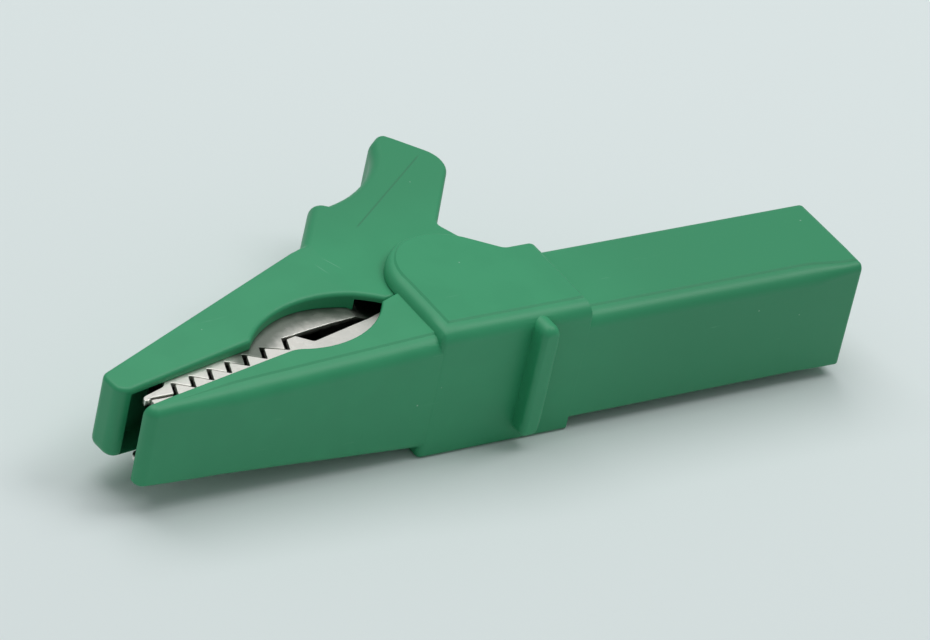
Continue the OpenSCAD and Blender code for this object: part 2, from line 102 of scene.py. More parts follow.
def crossings(a, b, centre, r):
    """Both points where the line from a to b crosses a circle, the one nearer to a first."""
    a = np.array(a[:2], float)
    along = np.array(b[:2], float) - a
    off = a - centre
    shares = np.sort(np.roots([along @ along, 2 * along @ off, off @ off - r * r]).real)
    return [a + along * share for share in shares]


def outline(corners, step=1.0):
    """Stations round a closed outline, anticlockwise.

    A corner is its x and y, its own radius, and the edge radius of the side after it. A station is its
    corner's place and radius, its way out, its share of the corner's turn, and the edge radii and the ways
    out of the sides before and after it."""
    corners = np.array(corners, float)
    ahead = np.roll(corners[:, :2], -1, 0) - corners[:, :2]
    length = np.linalg.norm(ahead, axis=1)
    ahead /= length[:, None]
    out = np.stack([ahead[:, 1], -ahead[:, 0]], 1)
    out_back = np.roll(out, 1, 0)
    bend = np.arctan2(out_back[:, 0] * out[:, 1] - out_back[:, 1] * out[:, 0], (out_back * out).sum(1))
    reach = corners[:, 2] * np.tan(np.abs(bend) / 2)
    stations = []
    for i, (x, y, r, soft) in enumerate(corners):
        sides = (corners[i - 1, 3], soft, *out_back[i], *out[i])
        start = math.atan2(out_back[i, 1], out_back[i, 0])
        parts = max(2, math.ceil(abs(bend[i]) / math.radians(corner_step_deg)))
        for share in np.linspace(0, 1, parts + 1) if r else (0.5,):
            a = start + bend[i] * share
            stations.append((x, y, math.copysign(r, bend[i]), math.cos(a), math.sin(a), share, *sides))
        free = length[i] - reach[i] - reach[(i + 1) % len(corners)]
        parts = max(1, math.ceil(free / step))
        for k in range(1, parts):
            place = corners[i, :2] + ahead[i] * (reach[i] + free * k / parts)
            stations.append((*place, 0, 0, 0, 0.5, soft, soft, *out[i], *out[i]))
    return np.array(stations)


def made(name, mesh_data):
    """Object from finished mesh data."""
    mesh = bpy.data.meshes.new(name)
    mesh_data.to_mesh(mesh)
    mesh_data.free()
    piece = bpy.data.objects.new(name, mesh)
    bpy.context.scene.collection.objects.link(piece)
    return piece


def skinned(layers):
    """Closed skin over rings of points in millimetres, the lowest ring first."""
    mesh_data = bmesh.new()
    rings = [[mesh_data.verts.new(np.multiply(point, MM)) for point in layer] for layer in layers]
    for lower, upper in zip(rings, rings[1:]):
        for i in range(len(lower)):
            mesh_data.faces.new((lower[i - 1], lower[i], upper[i], upper[i - 1]))
    mesh_data.faces.new(rings[-1])
    mesh_data.faces.new(reversed(rings[0]))
    return mesh_data


def slab(name, rows, half, middle=None, under=1.0, lip=None, breaks=(), steps=6):
    """Plate of an outline with rounded edges.

    half and middle give its half thickness and its middle by x, and breaks are places where half bends.
    under is how much larger than the upper edge's radius the lower edge's is, up to under_most.
    lip is the width by x of the slope up to a panel that stands proud inside the rounded upper edge."""
    xy, bend_r, way, share = rows[:, :2], rows[:, 2], rows[:, 3:5], rows[:, 5]
    soft_back, soft, out_back, out = rows[:, 6], rows[:, 7], rows[:, 8:10], rows[:, 10:]
    cross = out_back[:, 0] * out[:, 1] - out_back[:, 1] * out[:, 0]
    turns = np.abs(cross) > sharp_turn

    def met(inset_back, inset):
        mean = out + out_back
        mean /= np.linalg.norm(mean, axis=1, keepdims=True)
        shift = mean * ((inset + inset_back) / 2 / (mean * out).sum(1))[:, None]
        safe = np.where(turns, cross, 1)
        corner_x = (inset_back * out[:, 1] - inset * out_back[:, 1]) / safe
        corner_y = (inset * out_back[:, 0] - inset_back * out[:, 0]) / safe
        return xy - np.where(turns[:, None], np.stack([corner_x, corner_y], 1), shift)

    def moved_in(inset_back, inset):
        left = bend_r - inset_back - (inset - inset_back) * share
        left = np.where(bend_r > 0, np.maximum(left, 0), np.where(bend_r < 0, left, 0))
        centred = [np.where(bend_r < 0, bend_r, np.maximum(d, bend_r)) for d in (inset_back, inset)]
        return met(*centred) + way * left[:, None]

    def rounding(scale):
        back, ahead = (np.minimum(scale * r, np.maximum(r, under_most)) for r in (soft_back, soft))
        for a in np.linspace(0, math.pi / 2, steps + 1):
            inset = 1 - math.cos(a)
            yield moved_in(back * inset, ahead * inset), np.maximum(back, ahead) * (1 - math.sin(a))

    lip_w = np.zeros(len(rows)) if lip is None else lip(xy[:, 0])
    lip_back = lip_w * (soft_back > plain_soft)
    lip_ahead = lip_w * (soft > plain_soft)
    sunk = panel_d / panel_soft * np.maximum(lip_back, lip_ahead)
    layers = [np.column_stack([p, drop - half(p[:, 0])]) for p, drop in reversed(list(rounding(under)))]
    layers += [np.column_stack([p, half(p[:, 0]) - drop - sunk]) for p, drop in rounding(1)]
    if lip is not None:
        p = moved_in(soft_back + lip_back, soft + lip_ahead)
        layers.append(np.column_stack([p, half(p[:, 0])]))
    if middle is not None:
        for layer in layers:
            layer[:, 2] += middle(layer[:, 0])
    mesh_data = skinned(layers)
    bmesh.ops.remove_doubles(mesh_data, verts=mesh_data.verts, dist=hair * MM / 20)
    for x in breaks:
        everything = mesh_data.verts[:] + mesh_data.edges[:] + mesh_data.faces[:]
        bmesh.ops.bisect_plane(mesh_data, geom=everything, plane_co=(x * MM, 0, 0), plane_no=(1, 0, 0))
    return made(name, mesh_data)


def even(half):
    """Half thickness that is the same all along."""
    return lambda x: np.full(len(x), float(half))


def disc(name, centre, r, half):
    """Round plate that cuts a hole."""
    return slab(name, outline(arc(centre, r, 0, 360 - arc_step_deg, 0)), even(half), steps=1)


def along_y(piece, middle_y):
    """Turns a plate drawn in X and Z so that its thickness lies along Y."""
    piece.data.transform(Matrix.Translation((0, middle_y * MM, 0)) @ Matrix.Rotation(math.pi / 2, 4, "X"))
    return piece


def turned(name, profile, sides=72):
    """Solid of revolution about the X axis from its stations x and radius."""
    angles = np.linspace(0, math.tau, sides, endpoint=False)
    mesh_data = skinned([[(x, r * math.cos(a), r * math.sin(a)) for a in angles] for x, r in profile])
    bmesh.ops.recalc_face_normals(mesh_data, faces=mesh_data.faces)
    return made(name, mesh_data)


def worked(piece, operation, tools):
    """Joins tools to a piece or cuts them out of it, and clears them away."""
    for tool in tools:
        step = piece.modifiers.new("step", "BOOLEAN")
        step.operation = operation
        step.solver = "EXACT"
        step.object = tool
    graph = bpy.context.evaluated_depsgraph_get()
    mesh = bpy.data.meshes.new_from_object(piece.evaluated_get(graph))
    piece.modifiers.clear()
    piece.data = mesh
    for tool in tools:
        bpy.data.objects.remove(tool)
    return piece


def smoothed(piece, sharp_deg=32):
    """Smooth shading that keeps flat faces flat beside their rounded edges."""
    piece.data.shade_smooth()
    piece.data.set_sharp_from_angle(angle=math.radians(sharp_deg))
    shading = piece.modifiers.new("shading", "WEIGHTED_NORMAL")
    shading.keep_sharp = True
    return piece


# Tail: its rounded edge grows finer towards the end face.
body_step = 3
overlap = 3
back_y = 5.6
tail_l = 31
tail_half = 5.8
tail_soft = 1.5
tail_back_soft = 0.4
tail_end_soft = 0.35
tail_corner_soft = 0.8
tail_corner_r = 0.5
tail_under = 0.35
tail_fade_corners = 6
tail_end_x = body_high[0]
tail_fade_x = (tail_end_x - 6, tail_end_x - 2)
collar_rear_x = tail_end_x - tail_l
tail_start_x = collar_rear_x - overlap
tail = slab("tail", outline([
    (tail_start_x, outer_y, 0, tail_soft),
    *grown(tail_fade_x, (outer_y, outer_y), (tail_soft, tail_corner_soft), tail_fade_corners),
    (tail_end_x, outer_y, tail_corner_r, tail_end_soft),
    (tail_end_x, back_y, tail_corner_r, tail_back_soft),
    (tail_start_x, back_y, 0, 0),
], body_step), even(tail_half), under=tail_under, lip=even(panel_soft))

# Collar with the ears, which run out behind on a straight tangent.
ear_half = body_high[2]
ear_r = body_high[1] - pivot[1]
ear_soft = 0.35
ear_foot_l = 6.9
ear_foot_r = 1
collar_soft = 1.5
collar_front_soft = 1.2
collar_rear_soft = 0.3
collar_back_y = 5.75
collar_corner_r = 0.6
collar_rear_r = 0.15
collar_under = 0.3
collar_front_x = pivot[0] - ear_r
collar_outer_y = outer_y - hair


def ear_arc(start):
    """Round of an ear from behind to its front, where its edge grows rounder."""
    row = arc(pivot, ear_r, start, 180, ear_soft)
    shares = np.linspace(-1, 1, len(row)).clip(0)
    softs = ear_soft + (collar_front_soft - ear_soft) * shares
    return [(x, y, 0, soft) for (x, y, _, _), soft in zip(row, softs)]


ear_foot = np.array([pivot[0] + ear_foot_l, collar_back_y])
ear_tangent_deg = math.degrees(math.acos(ear_r / np.linalg.norm(ear_foot - pivot)))
collar = slab("collar", outline([
    (collar_front_x, collar_outer_y, collar_corner_r, collar_soft),
    (collar_rear_x, collar_outer_y, collar_rear_r, collar_rear_soft),
    (collar_rear_x, collar_back_y, collar_corner_r, ear_soft),
    (*ear_foot, ear_foot_r, ear_soft),
    *ear_arc(bearing(pivot, ear_foot) + ear_tangent_deg),
], body_step), even(ear_half), under=collar_under, lip=even(panel_soft))

# Lower jaw, which grows thicker from its nose to the collar, with a dip in its rim below the eye.
jaw_l = 30
jaw_taper = 0.2
jaw_nose_h = 1.2
jaw_nose_r = 1
jaw_root_half = 6
jaw_nose_half = 4.2
jaw_soft = 1.5
jaw_nose_soft = 0.95
jaw_rim_soft = 0.2
jaw_under = 0.6
jaw_grown_corners = 7
tip_x = collar_front_x - jaw_l
jaw_grown_x = (tip_x + 3, tip_x + 9)
jaw_root_x = collar_front_x + overlap
jaw_half_x = tip_x + jaw_nose_soft
jaw_slope = (jaw_root_half - jaw_nose_half) / (collar_front_x - jaw_half_x)
nose_y = outer_y + jaw_taper
rim_slope = math.tan(math.radians(9))
cheek_y = pivot[1] - 0.4
dip = pivot + np.array([-15.8, 3.6])
dip_r = 8.85
dip_corner_r = 3
dip_corner_deg = 7
dip_start_x = pivot[0] - 19.2


def body_rim_y(x):
    return nose_y + jaw_nose_h + rim_slope * (x - tip_x)


def jaw_half(x):
    return jaw_nose_half + jaw_slope * np.maximum(x - jaw_half_x, 0)


def jaw_lip(x):
    return np.interp(x, jaw_grown_x, (0, panel_soft))


dip_start = (dip_start_x, body_rim_y(dip_start_x))
dip_rear = crossings((collar_front_x, cheek_y), dip_start, dip, dip_r)[0]
dip_front = crossings(dip_start, (tip_x, body_rim_y(tip_x)), dip, dip_r)[1]
jaw_grown_y = np.interp(jaw_grown_x, (tip_x, jaw_root_x), (nose_y, outer_y))
jaw = slab("jaw", outline([
    (tip_x, nose_y, jaw_nose_r, jaw_nose_soft),
    *grown(jaw_grown_x, jaw_grown_y, (jaw_nose_soft, jaw_soft), jaw_grown_corners),
    (jaw_root_x, outer_y, 0, 0),
    (jaw_root_x, cheek_y, 0, jaw_rim_soft),
    (collar_front_x, cheek_y, 0, jaw_rim_soft),
    *arc(dip, dip_r, bearing(dip, dip_rear), bearing(dip, dip_front) + dip_corner_deg, jaw_rim_soft),
    (*dip_front, dip_corner_r, jaw_rim_soft),
    (tip_x, body_rim_y(tip_x), 0, jaw_nose_soft),
], body_step), jaw_half, under=jaw_under, lip=jaw_lip, breaks=(jaw_half_x,))

# Finger guard across the collar's outer side.
guard_x = collar_rear_x - 5.5
guard_z = 0.4
guard_half_w = 1
guard_half_l = 6.1
guard_soft = 0.55
guard_end_soft = 0.9
guard_r = guard_half_w - hair
guard_front = guard_x - guard_half_w
guard_rear = guard_x + guard_half_w
guard_low = guard_z - guard_half_l
guard_top = guard_z + guard_half_l
guard = along_y(slab("guard", outline([
    (guard_front, guard_low, guard_r, guard_end_soft),
    (guard_rear, guard_low, guard_r, guard_soft),
    (guard_rear, guard_top, guard_r, guard_end_soft),
    (guard_front, guard_top, guard_r, guard_soft),
]), even(guard_h)), guard_y + guard_h)

# Hollow of the body: a trough for the fixed jaw, a pocket for the lever's hub, and the bored tail.
metal_t = 0.6
seat = 0.05
past = 1
reach_y = 20
floor_y = outer_y + 1
fixed_nose_x = tip_x + 1.8
eye_x = pivot[0] - 16.5
flare_x = pivot[0] - 11
sheet_nose_half = 3.25
sheet_eye_half = 3.95
sheet_flare_half = 4.02
pocket_rear_x = collar_rear_x - 1.9
hub_r = 4.8
hub_gap = 0.35
ear_in_half = 5.72
heel_drop = 3
bore_r = 3.05
shroud_r = 4.45
shroud_x = -18
web_x = shroud_x - 4
mouth_soft = 0.4
body_sharp_deg = 20


def fixed_plan(x):
    """Half width of the fixed jaw over its flanges."""
    halves = (sheet_nose_half, sheet_eye_half, sheet_flare_half)
    return np.interp(x, (fixed_nose_x, eye_x, flare_x), halves)


trough_x = (fixed_nose_x - seat, eye_x, flare_x, pocket_rear_x)
trough_side = [(x, fixed_plan(x) + seat) for x in trough_x]
trough_rows = outline(sharp([(x, -z) for x, z in trough_side] + trough_side[::-1]))
trough_half = (reach_y - floor_y) / 2
trough = along_y(slab("trough", trough_rows, even(trough_half), steps=1), floor_y + trough_half)
pocket_r = hub_r + hub_gap
pocket_front_deg = math.degrees(math.asin((cheek_y - pivot[1]) / pocket_r))
pocket_back_deg = math.degrees(math.asin(-heel_drop / pocket_r))
pocket = slab("pocket", outline([
    *arc(pivot, pocket_r, -180 - pocket_front_deg, pocket_back_deg, 0),
    *sharp([
        (pocket_rear_x, pivot[1] - heel_drop),
        (pocket_rear_x, reach_y),
        (collar_front_x - past, reach_y),
        (collar_front_x - past, cheek_y),
    ]),
]), even(ear_in_half), steps=1)
channel = slab("channel", outline(sharp([
    (pocket_rear_x - past, -bore_r),
    (web_x, -bore_r),
    (web_x, bore_r),
    (pocket_rear_x - past, bore_r),
])), even(bore_r), steps=1)
bore = turned("bore", [
    (web_x - past, bore_r - hair),
    (shroud_x, bore_r - hair),
    (shroud_x, shroud_r),
    (tail_end_x - mouth_soft, shroud_r),
    (tail_end_x + mouth_soft, shroud_r + 2 * mouth_soft),
])
body = worked(collar, "UNION", [tail, jaw, guard])
body = smoothed(worked(body, "DIFFERENCE", [trough, pocket, channel, bore]), body_sharp_deg)
body.name = "body_moulding"


class Field:
    """One socket of a material, so that masks and heights are written as plain arithmetic."""

    def __init__(self, tree, socket):
        self.tree = tree
        self.socket = socket

    def node(self, kind, settings=None, inputs=None, out=0):
        """Adds any node: first its settings, then the values or links of its sockets."""
        new = self.tree.nodes.new("ShaderNode" + kind)
        for name, value in (settings or {}).items():
            setattr(new, name, value)
        for name, value in (inputs or {}).items():
            if isinstance(value, Field):
                self.tree.links.new(value.socket, new.inputs[name])
            else:
                new.inputs[name].default_value = value
        return Field(self.tree, new.outputs[out])

    def worked_out(self, operation, a, b):
        return self.node("Math", {"operation": operation}, {0: a, 1: b})

    def __add__(self, other):
        return self.worked_out("ADD", self, other)

    __radd__ = __add__

    def __sub__(self, other):
        return self.worked_out("SUBTRACT", self, other)

    def __rsub__(self, other):
        return self.worked_out("SUBTRACT", other, self)

    def __mul__(self, other):
        return self.worked_out("MULTIPLY", self, other)

    __rmul__ = __mul__

    def __abs__(self):
        return self.worked_out("ABSOLUTE", self, 0)


def scaled(place, factors):
    """Place stretched along each axis."""
    return place.node("VectorMath", {"operation": "MULTIPLY"}, {0: place, 1: factors})


def measured(place, direction):
    """How far a place lies along a direction."""
    return place.node("VectorMath", {"operation": "DOT_PRODUCT"}, {0: place, 1: direction}, out="Value")


def finish(name):
    """New material, its shader, and the place on the piece in millimetres."""
    material = bpy.data.materials.new(name)
    material.use_nodes = True
    tree = material.node_tree
    place = tree.nodes.new("ShaderNodeTexCoord")
    at = scaled(Field(tree, place.outputs["Object"]), (1 / MM, 1 / MM, 1 / MM))
    return material, tree.nodes["Principled BSDF"], at


def noise(at, scale, detail=2.0, stretch=(1, 1, 1)):
    """Cloudy value from 0 to 1 with features of about 1 / scale mm."""
    return at.node("TexNoise", None, {"Vector": scaled(at, stretch), "Scale": scale, "Detail": detail})


def between(value, low, high):
    """Smooth step of a value from 0 at low to 1 at high."""
    inputs = {"Value": value, "From Min": low, "From Max": high}
    return value.node("MapRange", {"interpolation_type": "SMOOTHSTEP"}, inputs)


def tinted(share, a, b):
    """Colour between a and b."""
    return share.node("Mix", {"data_type": "RGBA"}, {"Factor": share, 6: a, 7: b}, out=2)


def linked(shader, **fields):
    """Feeds the shader's sockets from fields."""
    for name, field in fields.items():
        field.tree.links.new(field.socket, shader.inputs[name.replace("_", " ")])


def raised(height, distance, strength):
    """Normal of a surface whose height varies from 0 to 1 over a distance in mm."""
    return height.node("Bump", None, {"Height": height, "Distance": distance * MM, "Strength": strength})


def hairline(at, start, stop, width):
    """Mask of a straight fine mark between two places seen along the hinge."""
    start = np.array(start)
    along = np.array(stop) - start
    length = np.linalg.norm(along)
    along = along / length
    across = np.array([-along[1], along[0]])
    off = abs(measured(at, (*across, 0)) - float(across @ start))
    gone = measured(at, (*along, 0)) - float(along @ start)
    side = between(off, width, width / 3)
    ends = between(abs(gone - length / 2), length / 2, length / 2 - 1)
    return side * ends


green_light = (0.031, 0.312, 0.139, 1)
green_deep = (0.028, 0.298, 0.132, 1)
# Green of the painted shade, where less light and sheen reach the plastic.
green_painted_shade = (0.026, 0.262, 0.116, 1)
# Dark green painted as shade along the crease of the thumb pad.
crease_painted_shade = (0.03, 0.16, 0.08, 1)
dust_pale = (0.34, 0.55, 0.43, 1)
scuff_pale = (0.13, 0.42, 0.25, 1)
scuff_share = 0.35
dust_share = 0.8
dust_scale = 0.45
plastic_gloss = 0.45


def plastic(name, marks, shade_along, from_mm, to_mm):
    """Satin moulded plastic with faint flow clouds, a fine grain, hairline scuffs and a little dust.
    Painted shade deepens it from one place to another along a direction, for light and sheen that fall off."""
    material, shader, at = finish(name)
    clouds = noise(at, 0.22, 3)
    grain = noise(at, 7, 2)
    scratches = between(noise(at, 1, 3, stretch=(0.12, 2.1, 2.1)), 0.69, 0.74)
    scuffs = scratches * between(noise(at, 0.35), 0.5, 0.62)
    cells = at.node("TexVoronoi", None, {"Vector": at, "Scale": dust_scale})
    lone = at.node("TexVoronoi", None, {"Vector": at, "Scale": dust_scale}, out="Color")
    pick = lone.node("SeparateColor", None, {0: lone})
    dust = between(cells, 0.05, 0.02) * between(pick, 0.7, 0.72)
    colour = tinted(between(clouds, 0.35, 0.65), green_deep, green_light)
    # Painted shade: darker along a direction, standing in for less light and sheen towards the tail and the
    # thumb.
    colour = tinted(between(measured(at, shade_along), from_mm, to_mm), colour, green_painted_shade)
    colour = tinted(scuffs * scuff_share, colour, scuff_pale)
    colour = tinted(dust * dust_share, colour, dust_pale)
    height = grain * 0.5 + noise(at, 1.1, 2) * 0.5 - scuffs * 0.4
    for start, stop, width, depth, share, shade in marks:
        mark = hairline(at, start, stop, width)
        height = height - mark * depth
        # A mark's colour: real pale wear for the scratches, painted shade for the crease.
        colour = tinted(mark * share, colour, shade)
    rough = 0.4 + clouds * 0.1 + scuffs * 0.1
    shader.inputs["Specular IOR Level"].default_value = plastic_gloss
    linked(shader, Base_Color=colour, Roughness=rough, Normal=raised(height, 0.012, 0.6))
    return material


# Painted shade on the body deepens along x over this span, towards the tail.
body_shade_mm = (-36, -16)
body.data.materials.append(plastic("green_plastic_body", [], (1, 0, 0), *body_shade_mm))
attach(body, "body")
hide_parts("body_shell")


# Fixed jaw
# Steel strip, stamped with a row of teeth along both edges, folded to a channel and plated with nickel.
# It lies in the body's slot, and its narrow tang runs back to the socket.
bite_angle = math.radians(11.4)
bite_off = 1.7
bite_gap = 0.36
tooth_start = 31.55
tooth_pitch = 2.12
tooth_d = 1.4
tooth_lean = 0.8
tooth_tip_r = 0.12
last_step = 0.6
teeth = 7
sheet_soft = 0.07
sheet_steps = 3
fixed_ear_r = 4.2
fixed_ear_start = -5
fixed_eye = ((-9, -0.65, 2), (-16.2, -0.98, 0.4), (-17.2, tooth_d / 2 - bite_gap / 2, 0.2))
nose_drop = 0.25
fold_r = 0.2
lip_edge_r = 0.1
flange_rear_x = pivot[0] + 5.2
flange_h = 1.6
flange_corner_r = 0.4
rivet_hole_r = 1.29


def bite(along, across):
    """Place measured from the hinge along the bite and across it."""
    c, s = math.cos(bite_angle), math.sin(bite_angle)
    return pivot[0] + along * c - across * s, pivot[1] + along * s + across * c


def tooth_edge(pitch, across, along):
    """Corners of the toothed edge from the nose back, each with its small radius."""
    edge = []
    for i in range(teeth):
        x = i * pitch - tooth_start + along + (last_step if i == teeth - 1 else 0)
        edge.append((*bite(x - tooth_lean, bite_off - tooth_d / 2 + across), tooth_tip_r, sheet_soft))
        edge.append((*bite(x, bite_off + tooth_d / 2 + across), tooth_tip_r, sheet_soft))
    return edge


def eye_edge(places):
    """Corners of the edge along the eye: how far along the bite, how far over it, and their radius."""
    return [(*bite(along, bite_off + rise), r, sheet_soft) for along, rise, r in places]


def flanges(rows, plan, breaks):
    """Both side plates of a folded sheet, as wide apart as the plan says, which bends at the breaks."""
    plates = []
    for side in (-1, 1):
        def middle(x, side=side):
            return side * (plan(x) - metal_t / 2)
        plates.append(slab("flange", rows, even(metal_t / 2), middle, breaks=breaks, steps=sheet_steps))
    return plates


bite_nose_y = pivot[1] + bite_off / math.cos(bite_angle) + math.tan(bite_angle) * (fixed_nose_x - pivot[0])
nose_top_y = bite_nose_y - nose_drop
fixed_edge = tooth_edge(tooth_pitch, -bite_gap / 2, 0)
ear_front = bite(-6.4, bite_off - 0.2)
fixed_rows = outline([
    (fixed_nose_x, floor_y, 0, sheet_soft),
    (flange_rear_x, floor_y, 0, sheet_soft),
    (flange_rear_x, floor_y + flange_h, flange_corner_r, sheet_soft),
    *arc(pivot, fixed_ear_r, fixed_ear_start, bearing(pivot, ear_front), sheet_soft),
    (*ear_front, 0, sheet_soft),
    *eye_edge(fixed_eye),
    *fixed_edge[::-1],
    (fixed_nose_x, nose_top_y, 0, sheet_soft),
])
fixed_in_x = fixed_nose_x + metal_t
fixed_floor = slab("floor", outline([
    (fixed_nose_x, floor_y + hair, fold_r, 0),
    (flange_rear_x - hair, floor_y + hair, 0, 0),
    (flange_rear_x - hair, floor_y + metal_t, 0, 0),
    (fixed_in_x, floor_y + metal_t, fold_r, 0),
    (fixed_in_x, nose_top_y - hair, lip_edge_r, 0),
    (fixed_nose_x, nose_top_y - hair, lip_edge_r, 0),
]), lambda x: fixed_plan(x) - hair, breaks=(eye_x, flare_x), steps=1)
tang_half = 2.5
tang_in_r = 0.5
tang_out_r = 1
tang_hole_r = 1.14
tang_start_x = flange_rear_x - past
tang_bend_x = flange_rear_x + 0.6
palm_front_x = tang_bend_x + 3.4
tang_end_x = web_x - 0.6
tang_rivet_x = (palm_front_x + tang_end_x) / 2
tang = slab("tang", outline([
    (tang_start_x, floor_y, 0, sheet_soft),
    (tang_bend_x, floor_y, tang_in_r, sheet_soft),
    (palm_front_x, -metal_t / 2, tang_out_r, sheet_soft),
    (tang_end_x, -metal_t / 2, 0, sheet_soft),
    (tang_end_x, metal_t / 2, 0, sheet_soft),
    (palm_front_x, metal_t / 2, tang_in_r, sheet_soft),
    (tang_bend_x, floor_y + metal_t, tang_out_r, sheet_soft),
    (tang_start_x, floor_y + metal_t, 0, sheet_soft),
]), even(tang_half), steps=sheet_steps)
tang_hole = along_y(disc("hole", (tang_rivet_x, 0), tang_hole_r, reach_y), 0)
near, distant = flanges(fixed_rows, fixed_plan, (eye_x, flare_x))
fixed_jaw = worked(near, "UNION", [distant, fixed_floor, tang])
fixed_pin_hole = disc("hole", pivot, rivet_hole_r, reach_y)
fixed_jaw = smoothed(worked(fixed_jaw, "DIFFERENCE", [fixed_pin_hole, tang_hole]))
fixed_jaw.name = "fixed_jaw_sheet"

nickel_bright = (0.86, 0.84, 0.79, 1)
nickel_dull = (0.66, 0.64, 0.60, 1)
# Near-black painted shade within the channel, where little light reaches.
nickel_painted_shade = (0.14, 0.14, 0.13, 1)
# Dark green of the painted shade and painted reflection of the lever's arch on the strip below it.
nickel_arch_shade = (0.06, 0.09, 0.065, 1)
nickel_rough = 0.34
arch = pivot - np.array([14.2, 8.9])
arch_r = 10.9


def plated_sheet(name, arch_shade=0):
    """Nickel plate with rolling lines along the strip, dull stains and small pits, and painted shade within
    its fold. Where asked for, painted shade and a green painted reflection of the lever's arch lie below the
    arch."""
    material, shader, at = finish(name)
    rolled = noise(at, 2, 3, stretch=(0.4, 6, 6))
    stains = between(noise(at, 0.8, 4), 0.45, 0.7)
    pits = between(noise(at, 5, 2), 0.68, 0.74)
    colour = tinted(stains * 0.7 + pits * 0.3, nickel_bright, nickel_dull)
    back = at.node("SeparateXYZ", None, {0: at}, out="X")
    height = at.node("SeparateXYZ", None, {0: at}, out="Z")
    plan = {"Value": back, "From Min": fixed_nose_x, "From Max": eye_x,
            "To Min": sheet_nose_half, "To Max": sheet_eye_half}
    # Painted shade: the sheet darkens towards the middle of the channel.
    shade_inside = between(back.node("MapRange", None, plan) - abs(height), 0.3, 0.55)
    colour = tinted(shade_inside, colour, nickel_painted_shade)
    # Painted shade and a painted green reflection of the lever's arch, on the sheet just below the arch.
    if arch_shade:
        flat = scaled(at, (1, 1, 0))
        off = at.node("VectorMath", {"operation": "DISTANCE"}, {0: flat, 1: (*arch, 0)}, out="Value")
        shade_band = between(off + noise(at, 1.5, 3) * 0.8, arch_r - 2.6, arch_r - 0.6)
        shade_band = shade_band * between(off, arch_r + 2, arch_r + 0.6)
        colour = tinted(shade_band * arch_shade, colour, nickel_arch_shade)
    shader.inputs["Metallic"].default_value = 1
    rough = nickel_rough + stains * 0.12 + rolled * 0.08
    linked(shader, Base_Color=colour, Roughness=rough, Normal=raised(rolled * 0.6 - pits * 0.8, 0.01, 0.5))
    return material


fixed_jaw.data.materials.append(plated_sheet("nickel_sheet"))
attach(fixed_jaw, "body")
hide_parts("fixed_jaw")


# Socket and rivets
# Turned brass tube for a 4 mm plug, held in the bored web of the tail and riveted to the fixed jaw's tang.
# The steel hinge rivet passes through the ears of both jaws under the moulded ears.
brass_bright = (0.80, 0.62, 0.30, 1)
brass_dull = (0.58, 0.42, 0.18, 1)
brass_rough = 0.25
brass_rings = (6, 0.3, 0.3)
steel_bright = (0.62, 0.62, 0.63, 1)
steel_dull = (0.42, 0.42, 0.44, 1)
steel_rough = 0.3
rivet_rings = (1, 1, 4)


def turned_metal(name, bright, dull, rough, rings):
    """Metal off the lathe: fine rings along its axis under a thin, uneven tarnish."""
    material, shader, at = finish(name)
    tarnish = between(noise(at, 0.7, 4), 0.4, 0.7)
    normal = raised(noise(at, 3, 2, stretch=rings), 0.01, 0.5)
    shader.inputs["Metallic"].default_value = 1
    linked(shader, Base_Color=tinted(tarnish, bright, dull), Roughness=rough + tarnish * 0.15, Normal=normal)
    return material


brass = turned_metal("plated_brass", brass_bright, brass_dull, brass_rough, brass_rings)
rivet_steel = turned_metal("rivet_steel", steel_bright, steel_dull, steel_rough, rivet_rings)
for node, metal in (("socket_tube", brass), ("hinge_rivet", rivet_steel), ("tang_rivet", rivet_steel)):
    frame["nodes"][node].material_slots[0].material = metal


# Thumb lever
# Second moulding of the same green plastic: the upper jaw, a hub between the ears and a thumb pad with a
# scoop. It is pushed over the moving jaw and turns with it.
lever_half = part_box("lever_shell")[1][2] / MM
lever_tip_x = tip_x - 1.15
lever_nose_half = 3.85
lever_nose_lift = 0.1
lever_nose_h = 3.2
lever_nose_top_r = 1
lever_nose_rim_r = 1.2
lever_soft = 0.4
lever_rim_soft = 0.45
lever_under = 2.5
hub_soft = 0.3
hub_start = 182
rim_gap = 2.8
lever_rim_slope = math.tan(math.radians(10.7))
top_slope = math.tan(math.radians(22))
nose_rim_x = lever_tip_x + 0.3
arch_start_x = pivot[0] - 22.6
arch_stop = pivot + np.array([-7.2, -0.25])
heel = pivot + np.array([5.7, 5.2])
waist = pivot + np.array([4, 9.1])
heel_r = 1
thumb_heel = pivot + np.array([11.15, 18.5])
thumb_heel_r = 3.2
thumb_tip = pivot + np.array([6.7, 24.2])
thumb_tip_soft = 0.75
scoop_r = 13.5
scoop_angle = math.radians(38.3)
scoop_low = pivot + np.array([0.85, 17.6])
scoop = scoop_low + scoop_r * np.array([-math.sin(scoop_angle), math.cos(scoop_angle)])
scoop_soft = 1.1
scoop_foot_r = 2
scoop_foot_deg = 9
scoop_start = -77
ridge = pivot + np.array([-5.75, 15.95])
ridge_r = 1.3
ridge_foot_x = pivot[0] - 10.7
ridge_foot_r = 1.5
notch_r = 9.9
lever_root_x = pivot[0] - notch_r
lever_in_half = 4.95


def lever_rim_y(x):
    return body_rim_y(lever_tip_x) + rim_gap + lever_rim_slope * (x - lever_tip_x)


def lever_top_y(x, depth=0):
    start_y = lever_rim_y(lever_tip_x) + lever_nose_h
    return start_y + top_slope * (x - lever_tip_x) - depth * math.hypot(1, top_slope)


def lever_plan(x):
    return np.interp(x, (lever_tip_x, lever_root_x), (lever_nose_half - lever_nose_lift, lever_half))


def lever_middle(x):
    return np.interp(x, (lever_tip_x, lever_root_x), (lever_nose_lift, 0))


